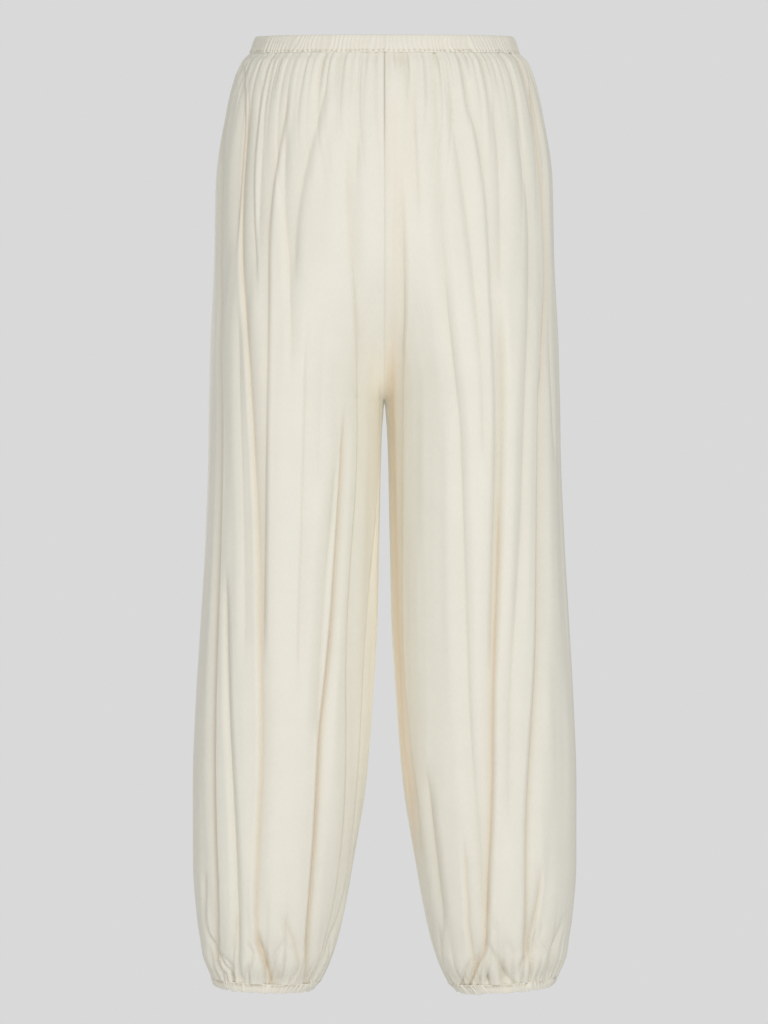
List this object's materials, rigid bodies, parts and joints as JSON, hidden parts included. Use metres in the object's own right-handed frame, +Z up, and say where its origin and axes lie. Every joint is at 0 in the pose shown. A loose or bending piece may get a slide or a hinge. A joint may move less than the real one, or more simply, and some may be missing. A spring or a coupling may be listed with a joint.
{
  "type": "elasticated balloon-leg trousers",
  "caption": "Loose trousers with a gathered elastic waistband, full hanging legs and narrow gathered ankle cuffs, hollow as worn.",
  "frame": {"origin": "middle of the waist opening, where the wearer holds the garment up", "axes": "+Z up along the body, -Y to the garment's front, +X to the right as seen from the front"},
  "size_m": [0.4074, 0.2561, 1.0298],
  "materials": {
    "ivory_cloth": "soft fine plain weave, faint sheen",
    "ivory_casing": "the same cloth, ruched over elastic"
  },
  "bodies": {
    "root": {"front_left": "ivory_cloth", "front_right": "ivory_cloth", "back_left": "ivory_cloth", "back_right": "ivory_cloth", "waistband": "ivory_casing", "cuff_left": "ivory_casing", "cuff_right": "ivory_casing"}
  },
  "joints": []
}
